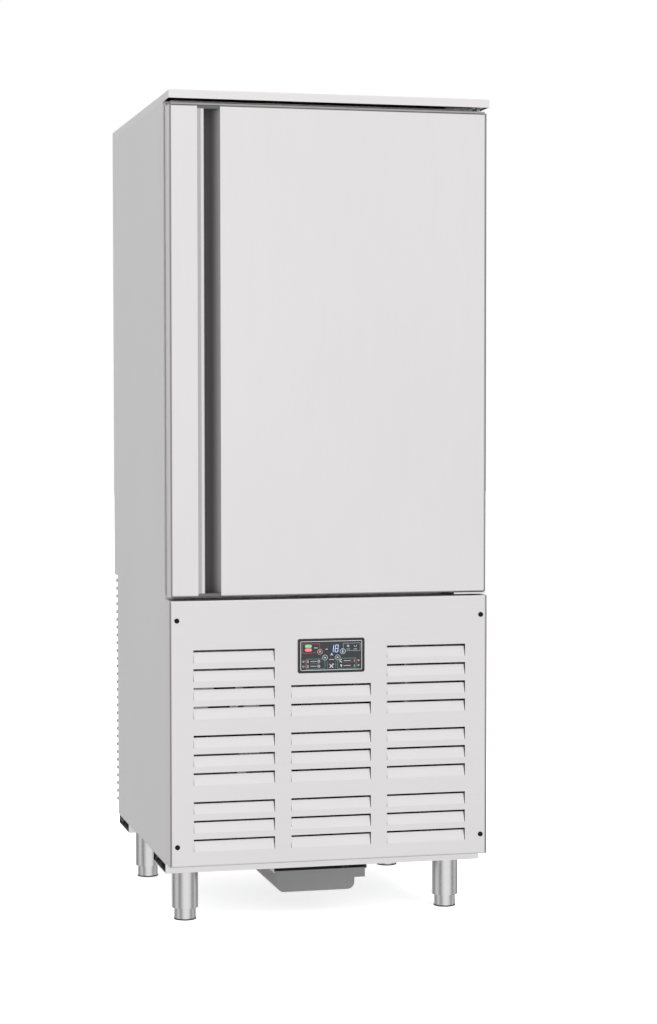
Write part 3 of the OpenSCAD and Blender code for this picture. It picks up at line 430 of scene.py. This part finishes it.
RECESS_DARK, RECESS_PALE = (0.049, 0.046, 0.047), (0.34, 0.335, 0.34)
RECESS_CAP = (0.085, 0.083, 0.084)
RECESS_RUN = (-0.288, -0.269)             # x over which the painted shade of the lining fades to pale


def recess_stock(name):
    """Dark plastic lining of the handle recess; painted shade darkens it towards the back of the
    recess, and it turns paler where it runs out into the door's face and on the caps at its
    ends."""
    m = moulded(name, RECESS_DARK, 0.55, 700, 0.05)
    # painted shade: the lining darkens towards the back of the recess
    depth = m.maths("POWER", m.spread(m.axis("X"), 0, 1, *RECESS_RUN), 1.7)
    m.l.new(m.mix(depth, RECESS_DARK, RECESS_PALE), m.b.inputs["Base Color"])
    lo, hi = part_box("door_handle_channel")
    middle = m.between("Z", lo.z + 8 * MM, hi.z - 8.5 * MM)
    m.recolor(m.maths("SUBTRACT", 1.0, middle), RECESS_CAP)
    return m


# ---------------------------------------------------------------- materials of the part
front = brushed("steel_front", (0.82, 0.803, 0.811), 0.42, "X")
# painted shade on the front panel: its bends, a line at its right edge and a strip along its
# foot
front.bends("X", 0.45)
front.paint_edge_shade("front_panel", 0.55)
front.paint_seam_shade("front_panel", 1.3 * MM, 0.50)
door_face = brushed("steel_door", (0.83, 0.813, 0.821), 0.42, "Z")
# painted shade on the door: its bends and a line at its right edge
door_face.bends("XZ", 0.45)
door_face.paint_edge_shade("door_skin", 0.55)
lip = brushed("steel_lip", (0.84, 0.822, 0.830), 0.30, "Z")
# painted shade: the faces of the grip that face straight to the front or back get a darker copy
# of its steel
lip.recolor(lip.spread(lip.turned("Y"), 0, 1, 0.90, 0.99), (0.71, 0.695, 0.703))
top_sheet = brushed("steel_top", (0.86, 0.842, 0.85), 0.42, "X")
side = brushed("steel_side", (0.825, 0.822, 0.822), 0.42, "Z")
inner = brushed("steel_inner", (0.72, 0.73, 0.735), 0.33, "Z")
runner_steel = brushed("steel_runner", (0.74, 0.745, 0.75), 0.28, "Y")
# painted shade: a darker copy of the door's steel for the upper fold, which lies in the shade
# under the top
fold_steel_shaded = brushed("steel_fold_painted_shade", (0.44, 0.431, 0.436), 0.42, "X")
round_steel = brushed("steel_round", ROUND_STEEL, 0.27, "Z", 0.03)
beam_front = beam_stock("steel_beam_front", "front_beam")
beam_rear = beam_stock("steel_beam_rear", "rear_beam")
foot_steel = foot_stock("foot_steel")
zinc = galvanised("zinc_sheet", (0.62, 0.63, 0.65))
fins = fin_stock("aluminium_fins")
coil_fins = fin_stock("evaporator_fins", 0.2705)
copper = copper_stock("copper_tube")
foam = foam_stock("insulation_foam")
rubber = moulded("gasket_rubber", (0.045, 0.045, 0.048), 0.55, 1200, 0.1)
grey = moulded("grey_plastic", (0.172, 0.172, 0.172), 0.48, 500, 0.08)
recess = recess_stock("recess_plastic")
frame_grey = moulded("frame_plastic", (0.56, 0.57, 0.58), 0.45, 700, 0.08)
white = moulded("bearing_plastic", (0.78, 0.78, 0.75), 0.40)
key_face = moulded("key_face", (0.05, 0.052, 0.058), 0.35, 900, 0.05)
black = moulded("black_plastic", (0.020, 0.019, 0.019), 0.42)
black.put("Specular IOR Level", 0.3)
screw_black = moulded("screw_black", (0.004, 0.004, 0.004), 0.35, 900, 0.03)
screw_black.put("Specular IOR Level", 0.15)
sheet = moulded("control_sheet", (0.018, 0.019, 0.022), 0.20, 200, 0.01)
sheet.put("Coat Weight", 0.12)
sheet.put("Specular IOR Level", 0.42)
paint = moulded("compressor_paint", (0.016, 0.016, 0.017), 0.33, 250, 0.1)
paint.put("Coat Weight", 0.3)

BY_NODE = {
    front: "front_panel",
    beam_front: "front_beam",
    beam_rear: "rear_beam",
    top_sheet: "top_panel",
    door_face: "door_skin",
    side: "left_side_panel right_side_panel back_panel rear_grille",
    inner: "chamber_liner door_liner left_rack right_rack fan_panel fan_panel_hinges fan_guards",
    runner_steel: "left_runners right_runners",
    lip: "door_grip",
    recess: "door_handle_channel",
    round_steel: "leg_sleeves top_hinge_bracket bottom_hinge_bracket",
    zinc: "cabinet_base_panel machine_floor tray_rails condenser_shroud",
    foot_steel: "foot_front_left foot_front_right foot_rear_left foot_rear_right",
    foam: "cabinet_foam door_foam",
    rubber: "door_gasket",
    screw_black: "panel_screws",
    black: "control_bezel upper_fan lower_fan condenser_fan probe_socket cable_gland",
    grey: "drip_tray controller_box fan_motors condenser_motor electrical_box drain_pipe",
    frame_grey: "breaker_frame",
    white: "hinge_bushes",
    sheet: "control_overlay",
    fins: "condenser_coil",
    coil_fins: "evaporator_coil",
    copper: "refrigerant_pipes filter_drier",
    paint: "compressor liquid_receiver",
    key_face: "key_stop key_light key_down key_up",
}
without = set(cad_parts)
for mat, names in BY_NODE.items():
    for node in names.split():
        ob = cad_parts[node]
        ob.data.materials.clear()
        ob.data.materials.append(mat.m)
        without.remove(node)
if without:
    raise SystemExit("no material for " + ", ".join(sorted(without)))


def place_piece(name, bm, mat, body):
    """Turns a bmesh into a piece that rides on a body."""
    me = bpy.data.meshes.new(name)
    bm.to_mesh(me)
    bm.free()
    me.materials.append(mat.m)
    ob = bpy.data.objects.new(name, me)
    scene.collection.objects.link(ob)
    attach(ob, body)


# ---------------------------------------------------------------- control panel marks
# places are in millimetres from the middle of the panel: x to the right, z up
over_lo, over_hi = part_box("control_overlay")
MID_X = (over_lo.x + over_hi.x) / 2
MID_Z = (over_lo.z + over_hi.z) / 2
SHEET_Y = over_lo.y
INK_T = 0.12 * MM           # how far a mark stands out of the cover sheet
INK_SUNK = 0.02 * MM        # how far it reaches into it
FINE, LINE, BOLD = 0.5, 0.7, 1.1
POINT_GAP = 1e-6            # points closer than this are one point


class Marks:
    """Flat printed marks of one colour, gathered into one mesh."""

    def __init__(self, y=SHEET_Y, t=INK_T):
        self.bm = bmesh.new()
        self.y, self.t = y, t

    def at(self, y, points):
        return [self.bm.verts.new((MID_X + x * MM, y, MID_Z + z * MM)) for x, z in points]

    def face(self, pts):
        """A closed outline in (x, z), made into a thin plate."""
        area = sum(a[0] * b[1] - b[0] * a[1] for a, b in zip(pts, pts[1:] + pts[:1]))
        if area < 0:
            pts = pts[::-1]
        fr = self.at(self.y - self.t, pts)
        bk = self.at(self.y + INK_SUNK, pts)
        self.bm.faces.new(fr)
        self.bm.faces.new(bk[::-1])
        for i in range(len(pts)):
            j = (i + 1) % len(pts)
            self.bm.faces.new((fr[j], fr[i], bk[i], bk[j]))

    def line(self, a, b, w):
        """A straight line of width w that runs half of w past both its ends."""
        dx, dz = b[0] - a[0], b[1] - a[1]
        k = w / 2 / math.hypot(dx, dz)
        nx, nz = -dz * k, dx * k
        ex, ez = dx * k, dz * k
        self.face([(a[0] - ex + nx, a[1] - ez + nz), (a[0] - ex - nx, a[1] - ez - nz),
                   (b[0] + ex - nx, b[1] + ez - nz), (b[0] + ex + nx, b[1] + ez + nz)])

    def path(self, pts, w):
        for a, b in zip(pts, pts[1:]):
            self.line(a, b, w)

    def ring(self, c, r, w, a0=0.0, a1=360.0, steps=36):
        """A ring or an arc of radius r and width w round c, from angle a0 to a1."""
        def point(radius, a):
            return (c[0] + radius * math.cos(a), c[1] + radius * math.sin(a))

        near, far = r - w / 2, r + w / 2
        at = [math.radians(a0 + (a1 - a0) * i / steps) for i in range(steps + 1)]
        for p, q in zip(at, at[1:]):
            self.face([point(near, p), point(far, p), point(far, q), point(near, q)])

    def pill(self, c, w, h):
        """A bar with round ends; a disc where w and h are equal."""
        r = min(w, h) / 2
        kx, kz = w / 2 - r, h / 2 - r
        pts = []
        for quarter, (sx, sz) in enumerate(((1, 1), (-1, 1), (-1, -1), (1, -1))):
            for step in range(7):
                a = math.radians(90 * quarter + 15 * step)
                p = (c[0] + sx * kx + r * math.cos(a), c[1] + sz * kz + r * math.sin(a))
                if not pts or math.dist(p, pts[-1]) > POINT_GAP:
                    pts.append(p)
        if math.dist(pts[0], pts[-1]) < POINT_GAP:
            pts.pop()
        self.face(pts)

    def digit(self, x, z, w, h, bars, t=1.15, slant=0.10):
        """One slanted digit from the usual seven bars, a to g, with x, z at its foot."""
        ends = {
            "a": ((0, h), (w, h)), "b": ((w, h), (w, h / 2)), "c": ((w, h / 2), (w, 0)),
            "d": ((0, 0), (w, 0)), "e": ((0, 0), (0, h / 2)), "f": ((0, h / 2), (0, h)),
            "g": ((0, h / 2), (w, h / 2)),
        }
        for bar in bars:
            (ax, az), (bx, bz) = ends[bar]
            gap = t * 0.55 / math.hypot(bx - ax, bz - az)
            x0, z0 = ax + (bx - ax) * gap, az + (bz - az) * gap
            x1, z1 = bx + (ax - bx) * gap, bz + (az - bz) * gap
            self.line((x + x0 + slant * z0, z + z0), (x + x1 + slant * z1, z + z1), t)

    def done(self, name, mat, body):
        bmesh.ops.recalc_face_normals(self.bm, faces=self.bm.faces)
        place_piece(name, self.bm, mat, body)


def ink(name, color, glow=0.0):
    """Printing ink, or a lamp under the sheet where it glows."""
    m = moulded(name, color, 0.35, 900, 0.02)
    if glow:
        m.put("Emission Color", (*color, 1))
        m.put("Emission Strength", glow)
    return m


ink_grey = ink("ink_grey", (0.50, 0.50, 0.51))
ink_white = ink("ink_white", (0.56, 0.56, 0.57))
ink_red = ink("ink_red", (0.36, 0.08, 0.09))
ink_teal = ink("ink_teal", (0.12, 0.27, 0.25))
ink_blue = ink("ink_blue", (0.24, 0.35, 0.41))
ink_pink = ink("ink_pink", (0.62, 0.36, 0.37))
lamp_green = ink("lamp_green", (0.14, 0.36, 0.18), 0.28)
lamp_red = ink("lamp_red", (0.56, 0.12, 0.14), 0.28)
digit_blue = ink("digit_blue", (0.42, 0.52, 0.82), 0.42)
ring_red = ink("ring_red", (0.40, 0.20, 0.20))
ring_blue = ink("ring_blue", (0.34, 0.42, 0.45))
ring_teal = ink("ring_teal", (0.24, 0.38, 0.37))

# border line inside the frame
BORDER_X, BORDER_Z = 76.0, 34.8
mk = Marks()
mk.path([(-BORDER_X, BORDER_Z), (BORDER_X, BORDER_Z), (BORDER_X, -BORDER_Z),
         (-BORDER_X, -BORDER_Z), (-BORDER_X, BORDER_Z)], BOLD)
mk.done("marks_border", ink_grey, "cabinet")

# upper left: an outline that runs to the stop key, and two red lines in the lower boxes
mk = Marks()
mk.path([(-29, 18.4), (-29, 29), (-72, 29), (-72, 7), (-47, 7), (-37, 9.2)], LINE)
mk.line((-64, -30.5), (-64, -9.5), FINE)
mk.line((58, -17), (20, -17), FINE)
mk.done("marks_red", ink_red, "cabinet")

# two large lamps in that outline, and two small ones at each end of the lower boxes
LAMP_W, LAMP_H, SMALL_LAMP = 17, 7.6, 1.8
mk = Marks()
mk.pill((-57, 23.6), LAMP_W, LAMP_H)
mk.line((57.5, -28), (57.5, -24), SMALL_LAMP)
mk.done("lamps_green", lamp_green, "cabinet")
mk = Marks()
mk.pill((-57, 14.6), LAMP_W, LAMP_H)
mk.line((57.5, -15.2), (57.5, -11.2), SMALL_LAMP)
mk.done("lamps_red", lamp_red, "cabinet")
mk = Marks()
mk.line((-58, -15.6), (-58, -11.6), SMALL_LAMP)
mk.line((-58, -27.2), (-58, -23.2), SMALL_LAMP)
mk.done("lamps_pink", ink_pink, "cabinet")

# lower boxes, each led to its own key, and lines to small symbols
mk = Marks()
for s in (-1, 1):
    mk.path([(24.2 * s, -7.5), (62 * s, -7.5), (62 * s, -32), (15.8 * s, -32),
             (15.8 * s, -13.3)], LINE)
mk.line((-53, -19.2), (-30, -19.2), FINE)
for x in (-10, 11):
    mk.line((x, -14), (x, -32), FINE)
mk.done("marks_teal", ink_teal, "cabinet")

# upper right: an outline that runs to the light key
mk = Marks()
mk.path([(30, 18.4), (30, 29), (72, 29), (72, 10.5), (38, 10.5)], LINE)
mk.done("marks_blue", ink_blue, "cabinet")

# small pictograms, and short bars where the words would be
mk = Marks()
mk.line((-13.8, 15.4), (-9.6, 15.4), 1.2)
for s in (-1, 1):                                           # crossed tools
    mk.line((-4 * s + 0.3, -29), (4.2 * s + 0.3, -21.5), 1.5)
mk.ring((4.6, -20.8), 1.5, 0.8, 120, 400, 14)
mk.pill((-4.2, -21.2), 2.0, 2.0)
for k in range(3):                                          # a fan with three blades
    a = math.radians(90 + 120 * k)
    mk.pill((1.2 + 2.2 * math.cos(a), 2.6 + 2.2 * math.sin(a)), 2.6, 1.9)
mk.pill((1.2, 2.6), 1.2, 1.2)
mk.line((-5, -9.6), (6.5, -9.6), 0.9)
for z in (-13.4, -25.2):                                    # the four rows of the lower boxes
    mk.line((-51, z), (-37, z), 0.8)
    mk.ring((-31, z), 2.6, 0.9, 0, 360, 20)
    mk.line((31, z), (48, z), 0.8)
    mk.ring((-69, z), 1.8, 0.7, 0, 360, 16)
    mk.ring((68, z), 1.6, 0.7, 0, 360, 16)
mk.ring((24.5, -13.4), 3.0, 1.2, 50, 310, 18)
mk.face([(21.5, -22.8), (27.5, -22.8), (25.2, -26), (25.2, -28.4), (23.8, -28.4), (23.8, -26)])
for k in range(3):                                          # a star of three strokes
    a = math.radians(60 * k + 90)
    dx, dz = 3.1 * math.cos(a), 3.1 * math.sin(a)
    mk.line((42 - dx, 22.5 - dz), (42 + dx, 22.5 + dz), 0.7)
mk.ring((60, 24.8), 4.0, 0.8, 200, 340, 14)
mk.line((38, 14.6), (46, 14.6), 0.7)
mk.line((56, 14.6), (64, 14.6), 0.7)
mk.line((-42, 19.2), (-34, 19.2), 1.1)
mk.done("marks_white", ink_white, "cabinet")

# the display's two digits
mk = Marks()
mk.digit(-2.0, 8.2, 6.4, 17.0, "bc")
mk.digit(9.2, 8.2, 6.8, 17.0, "abcdefg")
mk.done("digits", digit_blue, "cabinet")

# coloured ring and glyph of each key, riding on the key; the glyph lies in the key's hollow
KEYS = {
    "key_stop": (ring_red, ring_red, "key_red"),
    "key_light": (ring_blue, ink_white, "key_blue"),
    "key_down": (ring_teal, ink_white, "key_green"),
    "key_up": (ring_teal, ink_white, "key_green"),
}
KEY_HOLLOW = 0.5 * MM
for body, (ring_ink, glyph_ink, slot) in KEYS.items():
    lo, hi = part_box(body)
    x = ((lo.x + hi.x) / 2 - MID_X) / MM
    z = ((lo.z + hi.z) / 2 - MID_Z) / MM
    mk = Marks(lo.y, 0.06 * MM)
    mk.ring((x, z), 6.3, 1.0, 0, 360, 48)
    mk.done(body + "_ring", ring_ink, body)
    mk = Marks(lo.y + KEY_HOLLOW, 0.08 * MM)
    if body == "key_stop":
        mk.pill((x, z + 0.6), 4.2, 5.2)
    elif body == "key_light":
        mk.line((x, z - 2.6), (x, z + 2.6), 1.6)
    else:
        s = 1 if body == "key_down" else -1
        mk.face([(x - 3, z + 1.4 * s), (x, z - 2.2 * s), (x + 3, z + 1.4 * s), (x, z + 0.2 * s)])
    mk.done(body + "_glyph", glyph_ink, body)


# ---------------------------------------------------------------- fold round the door, and seal lip as painted gap shade
def bars(name, mat, body, slot, spans, soft):
    """Straight bars from corner to corner in one mesh, their edges rounded by soft."""
    bm = bmesh.new()
    for a, b in spans:
        made = bmesh.ops.create_cube(bm, size=1.0)["verts"]
        for v in made:
            v.co = Vector([(a[i] + b[i]) / 2 + v.co[i] * (b[i] - a[i]) for i in range(3)])
    bmesh.ops.bevel(bm, geom=bm.edges[:], offset=soft, segments=2, affect="EDGES", profile=0.5)
    place_piece(name, bm, mat, body)


skin_lo, skin_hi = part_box("door_skin")
SHEET_T = 1.2 * MM
FOLD_DEPTH = 60 * MM        # how far back the fold reaches, from the door's face
RISE = 4.5 * MM             # how far the folds stand up over the door's face
HEAD_BACK = 4.5 * MM        # how far behind the face the upper fold stands
fold_end = skin_lo.y + FOLD_DEPTH
fold_top = skin_hi.z + RISE
head_y = skin_lo.y + HEAD_BACK
bars("door_edge_fold", door_face, "door", "stainless_front", [
    ((skin_lo.x, skin_hi.y, skin_lo.z), (skin_lo.x + SHEET_T, fold_end, fold_top)),
    ((skin_hi.x - SHEET_T, skin_hi.y, skin_lo.z), (skin_hi.x, fold_end, fold_top)),
    ((skin_lo.x + SHEET_T, skin_hi.y, skin_lo.z),
     (skin_hi.x - SHEET_T, fold_end, skin_lo.z + SHEET_T))], 0.3 * MM)
# painted shade: the upper fold wears the darker copy of the steel
bars("door_head_fold", fold_steel_shaded, "door", "stainless_front", [
    ((skin_lo.x + 4 * MM, head_y, skin_hi.z - 0.2 * MM),
     (skin_hi.x - 4 * MM, head_y + SHEET_T, fold_top))], 0.3 * MM)

# painted shade: a black rubber strip shaped as the outer lip of the seal stands in for the
# shadow in the gap, at the left and below; it ends before the hinge
seal_shade_x0, seal_shade_x1 = skin_lo.x + 1 * MM, skin_hi.x - 60 * MM
seal_shade_y0, seal_shade_y1 = fold_end - 1 * MM, fold_end + 6 * MM
seal_shade_z0, seal_shade_t = skin_lo.z + 1 * MM, 3 * MM
bars("door_seal_lip_gap_shade", rubber, "door", "gasket", [
    ((seal_shade_x0, seal_shade_y0, seal_shade_z0), (seal_shade_x0 + seal_shade_t, seal_shade_y1, skin_hi.z)),
    ((seal_shade_x0 + seal_shade_t, seal_shade_y0, seal_shade_z0), (seal_shade_x1, seal_shade_y1, seal_shade_z0 + seal_shade_t))], 0.5 * MM)

# ---------------------------------------------------------------- floor
FLOOR_SIZE, FLOOR_GLOW = 60, 0.62

bpy.ops.mesh.primitive_plane_add(size=FLOOR_SIZE, location=(0, 0, 0))
floor = bpy.context.object
floor.name = "floor"
paper = Mat("floor_paper", (0.93, 0.93, 0.93), 0.9)
paper.shade(paper.noise((3, 3, 3), 2.0), 0.004)
paper.put("Emission Color", (1, 1, 1, 1))
paper.put("Emission Strength", FLOOR_GLOW)
floor.data.materials.append(paper.m)
floor.visible_glossy = False
